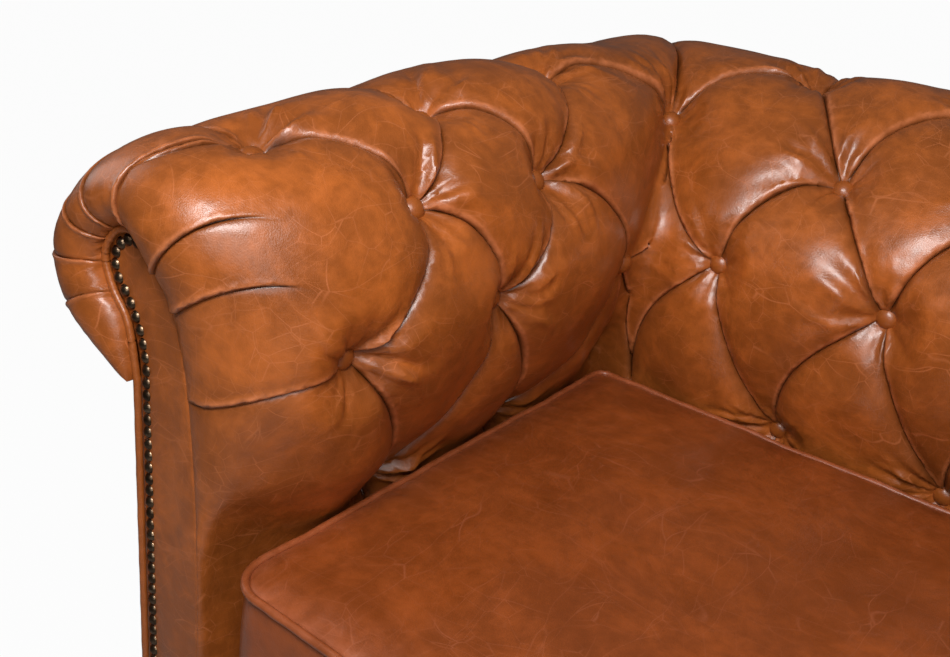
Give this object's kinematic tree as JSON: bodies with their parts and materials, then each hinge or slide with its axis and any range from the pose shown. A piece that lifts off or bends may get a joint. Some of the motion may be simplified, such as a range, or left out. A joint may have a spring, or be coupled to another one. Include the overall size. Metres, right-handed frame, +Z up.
{
  "type": "tufted club sofa",
  "caption": "Deep-buttoned leather club sofa with rolled arms and back of one height, scroll arm fronts with a row of domed nails, and loose box seat cushions",
  "frame": {"origin": "on the floor, under the middle of the sofa's bounding box", "axes": "X along the width, to the right of a viewer who faces the seat; Y from the front of the seat to the back; Z up"},
  "size_m": [2.1398, 0.9002, 0.8129],
  "materials": {
    "buttoned_leather": "waxed pull-up leather, soft sheen",
    "button_leather": "waxed pull-up leather over a button mould",
    "welt_leather": "leather cord, rubbed lighter",
    "cushion_leather": "waxed pull-up leather, soft sheen",
    "piping_leather": "leather cord, rubbed lighter",
    "nail_bronze": "dark antique bronze, worn at the crown",
    "hardwood": "sawn hardwood",
    "turned_wood": "dark stained and lacquered",
    "foam": "upholstery foam",
    "jute": "woven webbing",
    "deck_padding": "felted cotton",
    "deck_cloth": "matt lining cloth",
    "dust_cloth": "thin black cloth",
    "zip_cloth": "woven tape",
    "zip_brass": "dull antique brass",
    "steel": "plated steel",
    "glide_plastic": "moulded"
  },
  "bodies": {
    "sofa": {"frame_front_rail": "hardwood", "frame_back_rail": "hardwood", "frame_back_top_rail": "hardwood", "frame_back_tack_rail": "hardwood", "frame_back_posts": "hardwood", "frame_corner_blocks": "hardwood", "frame_seat_stretchers": "hardwood", "frame_side_rail_left": "hardwood", "frame_arm_tack_rail_left": "hardwood", "frame_arm_top_rail_left": "hardwood", "frame_arm_post_left": "hardwood", "inside_arm_leather_left": "buttoned_leather", "arm_facing_left": "buttoned_leather", "outside_arm_leather_left": "buttoned_leather", "inside_arm_foam_left": "foam", "arm_buttons_left": "button_leather", "arm_facing_welt_left": "welt_leather", "arm_nails_left": "nail_bronze", "frame_side_rail_right": "hardwood", "frame_arm_tack_rail_right": "hardwood", "frame_arm_top_rail_right": "hardwood", "frame_arm_post_right": "hardwood", "inside_arm_leather_right": "buttoned_leather", "arm_facing_right": "buttoned_leather", "outside_arm_leather_right": "buttoned_leather", "inside_arm_foam_right": "foam", "arm_buttons_right": "button_leather", "arm_facing_welt_right": "welt_leather", "arm_nails_right": "nail_bronze", "inside_back_leather": "buttoned_leather", "outside_back_leather": "buttoned_leather", "front_border": "buttoned_leather", "inside_back_foam": "foam", "back_buttons": "button_leather", "seat_webbing": "jute", "seat_deck_pad": "deck_padding", "seat_deck_cover": "deck_cloth", "dust_cover": "dust_cloth", "feet": "turned_wood", "foot_bolts": "steel", "foot_tee_nuts": "steel", "foot_glides": "glide_plastic"},
    "cushion_left": {"cushion_cover_left": "cushion_leather", "cushion_foam_left": "foam", "cushion_piping_left": "piping_leather", "cushion_zip_tape_left": "zip_cloth"},
    "zip_left": {"cushion_zip_slider_left": "zip_brass"},
    "cushion_middle": {"cushion_cover_middle": "cushion_leather", "cushion_foam_middle": "foam", "cushion_piping_middle": "piping_leather", "cushion_zip_tape_middle": "zip_cloth"},
    "zip_middle": {"cushion_zip_slider_middle": "zip_brass"},
    "cushion_right": {"cushion_cover_right": "cushion_leather", "cushion_foam_right": "foam", "cushion_piping_right": "piping_leather", "cushion_zip_tape_right": "zip_cloth"},
    "zip_right": {"cushion_zip_slider_right": "zip_brass"}
  },
  "joints": [
    {"name": "cushion_slide_left", "type": "slide", "parent": "sofa", "child": "cushion_left", "axis": [0, -1, 0], "range_m": [0, 0.62]},
    {"name": "zip_slide_left", "type": "slide", "parent": "cushion_left", "child": "zip_left", "axis": [1, 0, 0], "range_m": [0, 0.42]},
    {"name": "cushion_slide_middle", "type": "slide", "parent": "sofa", "child": "cushion_middle", "axis": [0, -1, 0], "range_m": [0, 0.62]},
    {"name": "zip_slide_middle", "type": "slide", "parent": "cushion_middle", "child": "zip_middle", "axis": [1, 0, 0], "range_m": [0, 0.42]},
    {"name": "cushion_slide_right", "type": "slide", "parent": "sofa", "child": "cushion_right", "axis": [0, -1, 0], "range_m": [0, 0.62]},
    {"name": "zip_slide_right", "type": "slide", "parent": "cushion_right", "child": "zip_right", "axis": [1, 0, 0], "range_m": [0, 0.42]}
  ]
}
